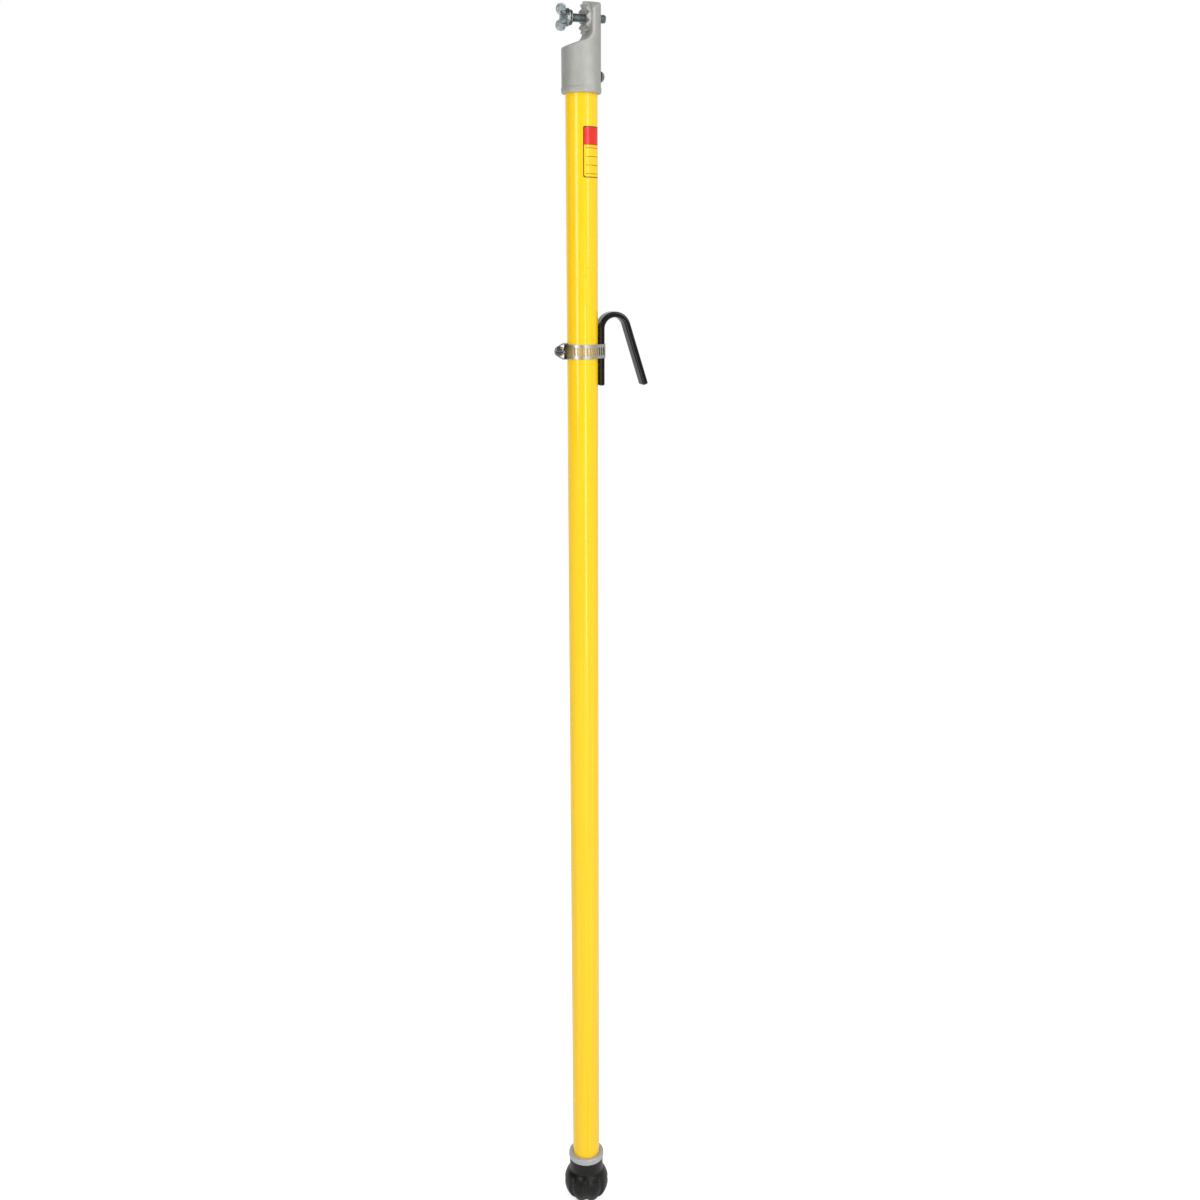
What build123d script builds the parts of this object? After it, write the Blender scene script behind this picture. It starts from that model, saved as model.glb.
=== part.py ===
from build123d import *
from math import acos, atan2, cos, degrees, hypot, pi, radians, sin, sqrt, tan
import os

# Lineman's hot stick: an insulating pole with a serrated universal head, a clamped hanging hook
# and a rubber foot. Millimetres. Z runs up the pole's axis from the bottom of the foot, the hook is
# on the +X side, and the serrated disc of the head faces -X.

# Running and joining clearances
glue_gap = 0.1
running_gap = 0.07
slide_gap = 0.3
seat_gap = 0.05

# Pole: glass-fibre tube, foam core and the two plugs that close it
pole_diameter = 31.75
pole_wall = 3.2
pole_length = 1270.0
butt_plug_length = 18.0
head_plug_length = 32.0

# Rubber foot: a lobed ball with a neck
foot_height = 54.9
foot_ball_radius = 26.5
foot_flat_radius = 16.0
foot_neck_radius = 20.0
foot_neck_blend = 3.0
foot_groove_count = 8
foot_groove_turn = -17.0
foot_groove_radius = 4.0
foot_groove_depth = 2.6
foot_groove_path_radius = 36.0
foot_groove_rise = 4.0
foot_groove_top = 20.0
foot_groove_bottom = -60.0

# Butt ferrule: a cup with a collar that rests on the foot's neck
collar_diameter = 41.8
collar_height = 7.3
collar_edge_round = 2.0
ferrule_wall = 2.3
ferrule_floor = 3.0
ferrule_depth = 31.0

# Universal head: skirt, shoulder, tongue and serrated disc
head_diameter = 38.6
head_bore_depth = 34.0
lip_height = 5.0
lip_rise = 0.4
lip_round = 1.6
shoulder_height = 41.5
profile_margin = 2.0
shoulder_slope = 18.0
shoulder_blend = 12.0
head_edge_round = 2.2
tongue_face = 6.0
tongue_corner_radius = 15.0
tongue_drop = 1.0
disc_centre_height = 68.4
disc_diameter = 30.0
disc_depth = 8.0
disc_root = 4.5
tooth_count = 12
tooth_height = 3.0
tooth_crest_share = 0.16
tooth_ring_radius = 7.0

# Rivet through the skirt, the tube and the head plug
rivet_diameter = 6.35
rivet_height = 16.0
rivet_dome_diameter = 11.0
rivet_dome_height = 4.4

# Wing screw: a forged head on a 5/16-18 stud 1 1/2 in long, with a flat and a split washer
screw_diameter = 7.94
screw_length = 38.1
screw_tip_chamfer = 0.8
stud_seat_depth = 5.5
screw_reach = 5.4
hub_flange_diameter = 17.2
hub_flange_depth = 2.2
hub_diameter = 12.0
hub_depth = 5.4
hub_end_round = 2.0
wing_roll = 8.0
wing_root_radius = 4.2
wing_root_offset = 5.0
wing_lobe_radius = 5.1
wing_lobe_offset = 7.2
wing_sweep = 1.7
wing_thickness = 3.6
wing_rim = 1.5
wing_recess = 0.5
wing_edge_round = 0.6
flat_washer_diameter = 15.0
flat_washer_thickness = 1.6
lock_washer_diameter = 13.8
lock_washer_thickness = 1.7
lock_washer_lift = 0.5
lock_washer_slit = 1.2
washer_bore_gap = 0.35

# Hanging hook: steel strip bent into a crook, dipped in vinyl
strip_width = 12.0
strip_thickness = 3.2
coat_thickness = 1.3
coat_edge_round = 1.5
coat_end_round = 1.2
hook_height = 1014.1
hook_stem_length = 56.2
hook_arch_radius = 11.3
hook_leg_slope = 18.0
hook_leg_length = 64.0

# Worm-drive clamp round the pole and the hook's stem
band_width = 14.3
band_thickness = 0.7
band_rise = 5.8
clamp_turn = -18.0
band_inner_start = 202.0
band_outer_start = 262.0
band_tail_end = 148.0
band_tail_lift = 2.7
slot_pitch = 3.175
slot_width = 1.6
slot_length = 8.0
slot_tilt = 4.0
slot_end_gap = 0.6
worm_radius = 4.4
worm_core_radius = 3.2
worm_thread_width = 0.9
worm_turns_before = 2
worm_turns_after = 1
worm_engagement = 0.4
housing_length = 14.0
housing_wall = 0.8
screw_collar_radius = 4.8
screw_collar_thickness = 1.2
screw_hex_flats = 7.94
screw_hex_height = 4.6
screw_hex_chamfer = 0.8
screw_slot_width = 1.2
screw_slot_depth = 1.8
screw_stub_radius = 2.6
screw_stub_length = 1.4

# Places along the pole
pole_radius = pole_diameter / 2
pole_bore_radius = pole_radius - pole_wall
pole_bottom = foot_height + collar_height - ferrule_depth
pole_top = pole_bottom + pole_length
cup_bore_radius = pole_radius + glue_gap
sleeve_radius = cup_bore_radius + ferrule_wall
head_radius = head_diameter / 2
head_rim = pole_top - head_bore_depth
rivet_level = head_rim + rivet_height
disc_level = head_rim + disc_centre_height
disc_radius = disc_diameter / 2
tongue_top = disc_level + disc_radius - tongue_drop
screw_radius = screw_diameter / 2
screw_hole_radius = screw_radius + running_gap
screw_tip = head_radius + screw_reach
hub_face = screw_tip - screw_length
hook_thickness = strip_thickness + 2 * coat_thickness
hook_width = strip_width + 2 * coat_thickness
hook_inner_face = pole_radius + slide_gap
hook_stem_x = hook_inner_face + hook_thickness / 2
hook_bottom = hook_height - hook_stem_length / 2
band_height = hook_height + band_rise
screw_axis = Axis((0, 0, disc_level), (1, 0, 0))
band_inner_radius = pole_radius + slide_gap
lap_shift_x = -band_tail_lift * cos(radians(band_outer_start))
lap_shift_y = -band_tail_lift * sin(radians(band_outer_start))
lap_outer = band_inner_radius + band_thickness + band_tail_lift - lap_shift_x
worm_axis = worm_engagement - lap_outer - worm_radius
lap_start = band_outer_start + clamp_turn
lap_centre = Rot(0, 0, clamp_turn) * Pos(lap_shift_x, lap_shift_y, 0)
groove_centre_offset = foot_ball_radius + foot_groove_radius - foot_groove_depth - foot_groove_path_radius

BASE = (Align.CENTER, Align.CENTER, Align.MIN)


def upright_cylinder(radius, bottom, top):
    return Pos(0, 0, bottom) * Cylinder(radius, top - bottom, align=BASE)


def cylinder_along_x(radius, start, end, level):
    return Pos(start, 0, level) * Rot(0, 90, 0) * Cylinder(radius, end - start, align=BASE)


def cylinder_along_y(radius, start, end, x, level):
    return Pos(x, start, level) * Rot(-90, 0, 0) * Cylinder(radius, end - start, align=BASE)


# Glass-fibre tube, drilled across near its top for the rivet
def make_pole_tube():
    tube = upright_cylinder(pole_radius, pole_bottom, pole_top)
    tube -= upright_cylinder(pole_bore_radius, pole_bottom, pole_top)
    return tube - rivet_hole()


# Plugs at both ends and the foam between them fill the tube's bore
def make_butt_plug():
    return upright_cylinder(pole_bore_radius, pole_bottom, pole_bottom + butt_plug_length)


def make_foam_core():
    return upright_cylinder(pole_bore_radius, pole_bottom + butt_plug_length, pole_top - head_plug_length)


def make_head_plug():
    return upright_cylinder(pole_bore_radius, pole_top - head_plug_length, pole_top) - rivet_hole()


# Metal cup under the tube, with a rounded collar that shows above the rubber
def make_butt_ferrule():
    collar = upright_cylinder(collar_diameter / 2, foot_height, foot_height + collar_height)
    collar = fillet(collar.edges().group_by(Axis.Z)[-1], collar_edge_round)
    sleeve = upright_cylinder(sleeve_radius, pole_bottom - ferrule_floor, foot_height)
    return collar + sleeve - upright_cylinder(cup_bore_radius, pole_bottom, foot_height + collar_height)


# Lobed rubber ball on a flat tread, moulded with a neck that takes the ferrule
def make_rubber_foot():
    ball_level = sqrt(foot_ball_radius**2 - foot_flat_radius**2)
    neck_foot = (foot_neck_radius, ball_level + sqrt(foot_ball_radius**2 - foot_neck_radius**2))
    outline = make_face(
        [
            Line((0, 0), (foot_flat_radius, 0)),
            ThreePointArc((foot_flat_radius, 0), (foot_ball_radius, ball_level), neck_foot),
            Line(neck_foot, (foot_neck_radius, foot_height)),
            Line((foot_neck_radius, foot_height), (0, foot_height)),
            Line((0, foot_height), (0, 0)),
        ]
    )
    neck_corner = outline.vertices().sort_by_distance(neck_foot)[0]
    outline = fillet(neck_corner, foot_neck_blend)
    foot = revolve(Plane.XZ * outline, Axis.Z)
    groove_level = ball_level + foot_groove_rise
    path_centre = Axis((groove_centre_offset, 0, groove_level), (0, 1, 0))
    groove_start = Pos(groove_centre_offset + foot_groove_path_radius, 0, groove_level)
    groove_section = groove_start * Circle(foot_groove_radius)
    groove_top = groove_section.rotate(path_centre, -foot_groove_top)
    groove = revolve(groove_top, path_centre, foot_groove_top - foot_groove_bottom)
    for index in range(foot_groove_count):
        foot -= Rot(0, 0, foot_groove_turn + 360 / foot_groove_count * index) * groove
    return foot - upright_cylinder(sleeve_radius + glue_gap, pole_bottom - ferrule_floor, foot_height)


def rivet_hole():
    return cylinder_along_x(rivet_diameter / 2 + glue_gap, -head_diameter, head_diameter, rivet_level)


# Side view of the casting: skirt, sloping shoulder, and the tongue that rises behind the serrated disc
def head_side_profile():
    outside = head_radius + profile_margin
    low = head_rim + shoulder_height - (outside - head_radius) * tan(radians(shoulder_slope))
    high = head_rim + shoulder_height + (tongue_face + head_radius) * tan(radians(shoulder_slope))
    profile = make_face(
        Polyline(
            (-outside, head_rim),
            (outside, head_rim),
            (outside, tongue_top),
            (tongue_face, tongue_top),
            (tongue_face, high),
            (-outside, low),
            close=True,
        )
    )
    inner_corner = profile.vertices().sort_by_distance((tongue_face, high))[0]
    return fillet(inner_corner, shoulder_blend)


# Front view of the casting: straight sides and a rounded top
def head_front_profile():
    height = tongue_top - head_rim
    front = Pos(0, head_rim + height / 2) * Rectangle(head_diameter, height)
    return fillet(front.vertices().group_by(Axis.Y)[-1], tongue_corner_radius)


# One radial tooth of the disc, a ridge that grows in width and height from the middle to the rim
def disc_tooth():
    rim = disc_radius + tooth_height
    half_root = rim * tan(pi / tooth_count)
    half_crest = half_root * tooth_crest_share
    crest = disc_root - tooth_height * rim / disc_radius
    ends = Wire.make_polygon(
        [
            (disc_root, -half_root, disc_level + rim),
            (disc_root, half_root, disc_level + rim),
            (crest, half_crest, disc_level + rim),
            (crest, -half_crest, disc_level + rim),
        ]
    )
    return loft([Face(ends), Vertex(disc_root, 0, disc_level)], ruled=True)


# Round boss on the tongue, with the ring of radial teeth on its face
def serrated_disc():
    crest = disc_root - tooth_height
    teeth = Part()
    for index in range(tooth_count):
        teeth += disc_tooth().rotate(screw_axis, 360 / tooth_count * index)
    teeth &= cylinder_along_x(disc_radius, crest, disc_root, disc_level)
    teeth -= cylinder_along_x(tooth_ring_radius, crest, disc_root, disc_level)
    return cylinder_along_x(disc_radius, disc_root, disc_root + disc_depth, disc_level) + teeth


# Sand-cast head: the tube is glued into its skirt, and the screw is threaded through the disc and the tongue
def make_universal_head():
    body = extrude(Plane.XZ * head_side_profile(), head_diameter, both=True)
    body &= extrude(Plane.YZ * head_front_profile(), head_diameter, both=True)
    body &= upright_cylinder(head_radius, head_rim, tongue_top)
    upper = body.edges().filter_by(lambda edge: edge.center().Z > head_rim + head_bore_depth)
    body = fillet(upper, head_edge_round)
    lip = upright_cylinder(head_radius + lip_rise, head_rim, head_rim + lip_height)
    body += fillet(lip.edges().group_by(Axis.Z)[0], lip_round)
    body += serrated_disc()
    body -= upright_cylinder(cup_bore_radius, head_rim, pole_top)
    body -= cylinder_along_x(screw_hole_radius, -head_diameter, head_diameter, disc_level)
    return body - rivet_hole()


# Solid rivet: domed head on the skirt's +X side, shank through everything, tail dressed flush
def make_head_rivet():
    tail = -sqrt(head_radius**2 - (rivet_diameter / 2) ** 2)
    dome_radius = rivet_dome_diameter / 2
    seat = sqrt(head_radius**2 - dome_radius**2)
    crown = head_radius + rivet_dome_height
    ball_radius = (dome_radius**2 + rivet_dome_height**2) / (2 * rivet_dome_height)
    flank = acos((ball_radius - rivet_dome_height) / ball_radius) / 2
    arc_middle = (crown - ball_radius + ball_radius * cos(flank), ball_radius * sin(flank))
    dome_outline = make_face(
        [
            Line((seat, 0), (seat, dome_radius)),
            Line((seat, dome_radius), (head_radius, dome_radius)),
            ThreePointArc((head_radius, dome_radius), arc_middle, (crown, 0)),
            Line((crown, 0), (seat, 0)),
        ]
    )
    dome = revolve(dome_outline, Axis.X) - Cylinder(head_radius, head_diameter)
    shank = cylinder_along_x(rivet_diameter / 2, tail, head_radius + rivet_dome_height / 2, 0)
    return Pos(0, 0, rivet_level) * (dome + shank)


# One wing of the screw: a flat teardrop swept back from the hub, sunk on both faces inside its rim
def screw_wing():
    root = (hub_face - hub_flange_depth - hub_depth / 2, wing_root_offset)
    lobe = (root[0] - wing_sweep, wing_lobe_offset)
    outline = make_hull((Pos(root) * Circle(wing_root_radius) + Pos(lobe) * Circle(wing_lobe_radius)).edges())
    wing = extrude(outline, wing_thickness / 2, both=True)
    rims = wing.edges().filter_by(lambda edge: abs(edge.center().Z) > wing_thickness / 4)
    wing = fillet(rims, wing_edge_round)
    sunk_root = Pos(root) * Circle(wing_root_radius - wing_rim)
    sunk_lobe = Pos(lobe) * Circle(wing_lobe_radius - wing_rim)
    sunk = make_hull((sunk_root + sunk_lobe).edges())
    for side in (1, -1):
        wing -= Pos(0, 0, side * wing_thickness / 2) * extrude(sunk, wing_recess, both=True)
    return wing


# Stud of the wing screw, pressed into its head; a plain cylinder at the thread's outside diameter
def make_screw_stud():
    stud = cylinder_along_x(screw_radius, hub_face - stud_seat_depth, screw_tip, disc_level)
    return chamfer(stud.edges().group_by(Axis.X)[-1], screw_tip_chamfer)


# Forged head of the wing screw: flange, hub and two wings, bored for the stud
def make_wing_screw():
    back = hub_face - hub_flange_depth
    flange = cylinder_along_x(hub_flange_diameter / 2, back, hub_face, 0)
    hub = cylinder_along_x(hub_diameter / 2, back - hub_depth, back, 0)
    hub = fillet(hub.edges().group_by(Axis.X)[0], hub_end_round)
    wing = screw_wing()
    head = flange + hub + wing + wing.rotate(Axis.X, 180)
    head -= cylinder_along_x(screw_radius + seat_gap, hub_face - stud_seat_depth, hub_face, 0)
    return Pos(0, 0, disc_level) * Rot(90 + wing_roll, 0, 0) * head


# Plain washer against the flange
def make_flat_washer():
    front = hub_face + seat_gap + flat_washer_thickness
    washer = cylinder_along_x(flat_washer_diameter / 2, hub_face + seat_gap, front, disc_level)
    return washer - cylinder_along_x(screw_radius + washer_bore_gap, hub_face, front, disc_level)


# Split spring washer: one turn of square wire on a slight helix, so that its cut ends stand apart
def make_lock_washer():
    bore = screw_radius + washer_bore_gap
    wire_width = lock_washer_diameter / 2 - bore
    middle = bore + wire_width / 2
    slit = degrees(lock_washer_slit / middle)
    turn = Helix(lock_washer_lift, lock_washer_lift * (1 - slit / 360), middle)
    cut_end = Plane((middle, 0, 0), x_dir=(1, 0, 0), z_dir=(0, 1, 0))
    wire = sweep(cut_end * Rectangle(wire_width, lock_washer_thickness), turn, is_frenet=True)
    start = hub_face + 2 * seat_gap + flat_washer_thickness + lock_washer_thickness / 2
    return Pos(start, 0, disc_level) * Rot(0, 90, 0) * Rot(0, 0, 180 + slit / 2) * wire


# Centre line of the hook in the plane of the pole's axis: stem, crook and sloping leg, both ends drawn out
def hook_path(extra):
    arch = hook_arch_radius + hook_thickness / 2
    bend = hook_bottom + hook_stem_length
    centre = hook_stem_x + arch
    slope = radians(hook_leg_slope)
    turn = (centre + arch * cos(slope), bend + arch * sin(slope))
    reach = hook_leg_length + extra
    leg_end = (turn[0] + reach * sin(slope), turn[1] - reach * cos(slope))
    crown = radians(90 + hook_leg_slope / 2)
    middle = (centre + arch * cos(crown), bend + arch * sin(crown))
    stem = Line((hook_stem_x, hook_bottom - extra), (hook_stem_x, bend))
    crook = ThreePointArc((hook_stem_x, bend), middle, turn)
    return Plane.XZ * Wire([stem.edge(), crook.edge(), Line(turn, leg_end).edge()])


# A strip of the given section swept along the hook's centre line
def hook_sweep(width, thickness, edge_round, extra):
    section = Pos(hook_stem_x, 0, hook_bottom - extra) * RectangleRounded(thickness, width, edge_round)
    return sweep(section, hook_path(extra))


def make_hook_strip():
    return hook_sweep(strip_width, strip_thickness, strip_thickness / 8, 0)


# Vinyl skin all round the strip, with soft edges at both ends
def make_hook_coating():
    skin = hook_sweep(hook_width, hook_thickness, coat_edge_round, coat_thickness)
    path = hook_path(coat_thickness)
    tips = [skin.faces().sort_by_distance(path @ end)[0] for end in (0, 1)]
    skin = fillet(tips[0].edges() + tips[1].edges(), coat_end_round)
    return skin - make_hook_strip()


# Edges of the band seen from above, at a given distance outside its middle line. It starts under the housing,
# goes round the back of the pole, over the hook's stem, along the front and over its own start.
def band_edges(offset):
    middle = band_inner_radius + band_thickness / 2
    corner_x = hook_inner_face + hook_thickness - coat_edge_round
    corner_y = hook_width / 2 - coat_edge_round
    corner = coat_edge_round + seat_gap + band_thickness / 2
    lean = atan2(corner_y, corner_x) + acos((middle - corner) / hypot(corner_x, corner_y))
    ring = middle + offset
    bend = corner + offset
    lap_radius = middle + band_tail_lift
    lap = lap_radius + offset
    lean_degrees = degrees(lean)
    under_start = band_inner_start + clamp_turn
    around_pole = CenterArc((0, 0), ring, under_start, lean_degrees - under_start)
    first_corner = CenterArc((corner_x, corner_y), bend, lean_degrees, -lean_degrees)
    second_corner = CenterArc((corner_x, -corner_y), bend, 0, -lean_degrees)
    front = CenterArc((0, 0), ring, 360 - lean_degrees, lap_start - 360 + lean_degrees)
    tail = CenterArc(lap_centre.position, lap, lap_start, band_tail_end - band_outer_start)
    return [
        around_pole,
        Line(around_pole @ 1, first_corner @ 0),
        first_corner,
        Line(first_corner @ 1, second_corner @ 0),
        second_corner,
        Line(second_corner @ 1, front @ 0),
        front,
        tail,
    ]


# Cutter for the slots that the worm drives, evenly spaced along the tail and on to the hook's stem
def band_slots():
    middle = band_inner_radius + band_thickness / 2
    lap_radius = middle + band_tail_lift
    level = Pos(0, 0, band_height)
    slot = Rot(slot_tilt, 0, 0) * Box(4 * band_thickness, slot_width, slot_length)
    slots = []
    step = degrees(slot_pitch / lap_radius)
    after = int((180 - band_tail_end) / step)
    before = int((band_outer_start - 180) / step)
    for index in range(1 - after, before + 1):
        turn = Rot(0, 0, 180 + clamp_turn + index * step)
        slots.append(level * Pos(lap_centre.position) * turn * Pos(lap_radius, 0, 0) * slot)
    *_, to_stem, front, _ = band_edges(0)
    run = Wire([to_stem.edge(), front.edge()])
    first = run.length - radians(180 + clamp_turn + (before + 1) * step - lap_start) * middle
    count = int((first - slot_end_gap) / slot_pitch)
    for index in range(count + 1):
        along = first - index * slot_pitch
        spot = run.position_at(along, PositionMode.LENGTH)
        heading = run.tangent_at(along, PositionMode.LENGTH)
        turn = Rot(0, 0, degrees(atan2(heading.Y, heading.X)) + 90)
        slots.append(level * Pos(spot) * turn * slot)
    return slots


# Slotted stainless band
def make_clamp_band():
    outer = band_edges(band_thickness / 2)
    inner = band_edges(-band_thickness / 2)
    caps = [Line(outer[0] @ 0, inner[0] @ 0), Line(outer[-1] @ 1, inner[-1] @ 1)]
    band = extrude(Pos(0, 0, band_height) * make_face(outer + inner + caps), band_width / 2, both=True)
    return band - band_slots()


# Section of the clamp's housing across the worm: an arch on two legs that reach down past the band's edges
def housing_section(clearance):
    arch = Pos(worm_axis, band_height) * Circle(worm_radius + slide_gap + clearance)
    half = band_width / 2 + slide_gap / 2 + clearance
    shoulder = -lap_outer - seat_gap - clearance
    foot = -pole_bore_radius
    legs = Pos((shoulder + foot) / 2, band_height) * Rectangle(foot - shoulder, 2 * half)
    return make_hull((arch + legs).edges())


# Pressed housing that carries the worm over the band
def make_clamp_housing():
    shell = housing_section(housing_wall)
    hollow = housing_section(0)
    housing = extrude(Plane.XZ * shell, housing_length / 2, both=True)
    housing -= extrude(Plane.XZ * hollow, housing_length, both=True)
    housing -= upright_cylinder(band_inner_radius, band_height - band_width, band_height + band_width)
    return Rot(0, 0, clamp_turn) * housing


# Slotted hex-head worm; its middle ridges dip into the band's slots
def make_clamp_screw():
    end = housing_length / 2
    collar = -end - seat_gap - screw_collar_thickness
    head = collar - screw_hex_height
    screw = cylinder_along_y(worm_core_radius, collar, end, worm_axis, band_height)
    for index in range(-worm_turns_before, worm_turns_after + 1):
        ridge = lap_shift_y + index * slot_pitch
        start = ridge - worm_thread_width / 2
        screw += cylinder_along_y(worm_radius, start, start + worm_thread_width, worm_axis, band_height)
    collar_end = collar + screw_collar_thickness
    screw += cylinder_along_y(screw_collar_radius, collar, collar_end, worm_axis, band_height)
    hex_outline = RegularPolygon(screw_hex_flats / 2, 6, major_radius=False)
    hexagon = Pos(worm_axis, collar, band_height) * Rot(90, 0, 0) * extrude(hex_outline, screw_hex_height)
    rounding = cylinder_along_y(screw_hex_flats / sqrt(3), head, collar, worm_axis, band_height)
    screw += hexagon & chamfer(rounding.edges().group_by(Axis.Y)[0], screw_hex_chamfer)
    screw += cylinder_along_y(screw_stub_radius, end, end + screw_stub_length, worm_axis, band_height)
    slot = Box(2 * screw_hex_flats, 2 * screw_slot_depth, screw_slot_width)
    screw -= Pos(worm_axis, head, band_height) * slot
    return Rot(0, 0, clamp_turn) * screw


PARTS = {
    "pole_tube": make_pole_tube,
    "butt_plug": make_butt_plug,
    "foam_core": make_foam_core,
    "head_plug": make_head_plug,
    "butt_ferrule": make_butt_ferrule,
    "rubber_foot": make_rubber_foot,
    "universal_head": make_universal_head,
    "head_rivet": make_head_rivet,
    "screw_stud": make_screw_stud,
    "wing_screw": make_wing_screw,
    "flat_washer": make_flat_washer,
    "lock_washer": make_lock_washer,
    "hook_strip": make_hook_strip,
    "hook_coating": make_hook_coating,
    "clamp_band": make_clamp_band,
    "clamp_housing": make_clamp_housing,
    "clamp_screw": make_clamp_screw,
}

os.makedirs("parts", exist_ok=True)
for name, make in PARTS.items():
    export_step(make(), f"parts/{name}.step")
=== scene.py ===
import math

import bmesh
import bpy
import numpy as np
from mathutils import Euler, Matrix, Vector


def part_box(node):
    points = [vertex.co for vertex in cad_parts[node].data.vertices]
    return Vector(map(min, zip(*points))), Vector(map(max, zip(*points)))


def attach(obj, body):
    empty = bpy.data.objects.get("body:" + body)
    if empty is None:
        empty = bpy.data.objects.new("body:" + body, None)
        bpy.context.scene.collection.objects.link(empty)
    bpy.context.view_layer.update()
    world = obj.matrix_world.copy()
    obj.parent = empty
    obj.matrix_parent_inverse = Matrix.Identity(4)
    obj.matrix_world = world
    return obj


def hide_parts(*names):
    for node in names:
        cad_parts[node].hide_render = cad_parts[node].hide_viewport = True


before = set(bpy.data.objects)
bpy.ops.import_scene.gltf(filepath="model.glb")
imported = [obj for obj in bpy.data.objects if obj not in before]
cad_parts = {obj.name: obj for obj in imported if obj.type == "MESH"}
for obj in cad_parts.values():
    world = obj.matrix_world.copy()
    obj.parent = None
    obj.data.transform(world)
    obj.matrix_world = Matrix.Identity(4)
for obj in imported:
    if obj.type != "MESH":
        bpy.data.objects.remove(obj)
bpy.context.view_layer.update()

# Glass-fibre pole
# A tube of glass roving pulled through a die with yellow polyester resin, then given a clear gloss skin.
# It is glued and riveted into the head at the top and glued into a metal cup at the butt.
MM = 0.001


def linear(code):
    """Linear RGBA of an sRGB hex colour."""
    parts = [int(code[start:start + 2], 16) / 255 for start in (0, 2, 4)]
    return [p / 12.92 if p <= 0.04045 else ((p + 0.055) / 1.055) ** 2.4 for p in parts] + [1.0]


def per_mm(size):
    """Texture scale of a pattern whose features are this many millimetres across."""
    return 1 / (size * MM)


def add_node(tree, kind, inputs, **settings):
    """Adds a shader node, or sets the one of that name, with its settings and its inputs or links."""
    node = tree.nodes.get(kind) or tree.nodes.new(kind)
    for name, value in settings.items():
        setattr(node, name, value)
    for name, value in inputs.items():
        if isinstance(value, bpy.types.NodeSocket):
            tree.links.new(value, node.inputs[name])
        else:
            node.inputs[name].default_value = value
    return node.outputs[2] if kind == "ShaderNodeMix" else node.outputs[0]


def new_material(name):
    """A material, its node tree, and the place on the piece in metres."""
    material = bpy.data.materials.new(name)
    material.use_nodes = True
    coordinates = material.node_tree.nodes.new("ShaderNodeTexCoord")
    return material, material.node_tree, coordinates.outputs["Object"]


def new_piece(name, points, faces):
    """A smooth mesh object from points in metres, its faces turned outwards."""
    mesh = bpy.data.meshes.new(name)
    mesh.from_pydata(points, [], faces)
    surface = bmesh.new()
    surface.from_mesh(mesh)
    bmesh.ops.recalc_face_normals(surface, faces=surface.faces)
    surface.to_mesh(mesh)
    surface.free()
    mesh.shade_smooth()
    piece = bpy.data.objects.new(name, mesh)
    bpy.context.collection.objects.link(piece)
    return piece


def dress(piece, body, material, slot, *nodes):
    """Gives a piece its finish, the body that it moves with and the solids that it stands for."""
    piece.data.materials.clear()
    piece.data.materials.append(material)
    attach(piece, body)
    if nodes:
        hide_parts(*nodes)


def turned(name, profile, steps, place, span=2 * math.pi):
    """A closed profile of (radius, along) carried round an axis; place gives the point of each."""
    closed = span == 2 * math.pi
    stations = steps if closed else steps + 1
    count = len(profile)
    points = [place(radius, span * s / steps, along) for s in range(stations) for radius, along in profile]
    faces = []
    for s in range(steps):
        here = s * count
        there = (s + 1) % stations * count
        for k in range(count):
            after = (k + 1) % count
            faces.append((here + k, here + after, there + after, there + k))
    if not closed:
        faces += [tuple(range(count)), tuple(range(steps * count, stations * count))]
    return new_piece(name, points, faces)


def crisp(piece, degrees):
    """Keeps edges sharper than this angle crisp on a smooth piece."""
    piece.data.set_sharp_from_angle(angle=math.radians(degrees))


def about_pole(radius, angle, height):
    """A point about the pole's axis."""
    return (radius * math.cos(angle), radius * math.sin(angle), height)


pole_low, pole_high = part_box("pole_tube")
pole_radius = (pole_high[0] - pole_low[0]) / 2
pole_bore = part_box("foam_core")[1][0]
end_break = 0.4 * MM
pole = turned(
    "pole",
    [
        (pole_bore, pole_low[2]),
        (pole_radius - end_break, pole_low[2]),
        (pole_radius, pole_low[2] + end_break),
        (pole_radius, pole_high[2] - end_break),
        (pole_radius - end_break, pole_high[2]),
        (pole_bore, pole_high[2]),
    ],
    steps=144,
    place=about_pole,
)
crisp(pole, 30)

# Pultruded fibreglass: the rovings show faintly under the resin as fine streaks along the pole. The skin over
# them is glossy, and gloves have rubbed it a little duller in patches. Streaks drawn 0.9 mm wide, to show.
fibreglass, tree, spot = new_material("pultruded_fibreglass_yellow")
lengthwise = add_node(tree, "ShaderNodeMapping", {"Vector": spot, "Scale": (1, 1, 0.004)})
roving = add_node(tree, "ShaderNodeTexNoise", {"Vector": lengthwise, "Scale": per_mm(0.9), "Detail": 4.0})
streak = add_node(tree, "ShaderNodeMapRange", {"Value": roving, "From Min": 0.35, "From Max": 0.65})
resin = add_node(
    tree, "ShaderNodeMix", {0: streak, 6: linear("ffca00"), 7: linear("ffd600")}, data_type="RGBA"
)
rubbing = add_node(tree, "ShaderNodeTexNoise", {"Vector": spot, "Scale": per_mm(28), "Detail": 6.0})
gloss = add_node(
    tree,
    "ShaderNodeMapRange",
    {"Value": rubbing, "From Min": 0.35, "From Max": 0.7, "To Min": 0.2, "To Max": 0.28},
)
ripple = add_node(tree, "ShaderNodeBump", {"Height": roving, "Strength": 0.05, "Distance": 0.05 * MM})
add_node(
    tree,
    "Principled BSDF",
    {"Base Color": resin, "Roughness": gloss, "Normal": ripple, "IOR": 1.5, "Coat Weight": 0.25},
)
dress(pole, "pole", fibreglass, "fibreglass_yellow", "pole_tube")

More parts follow.
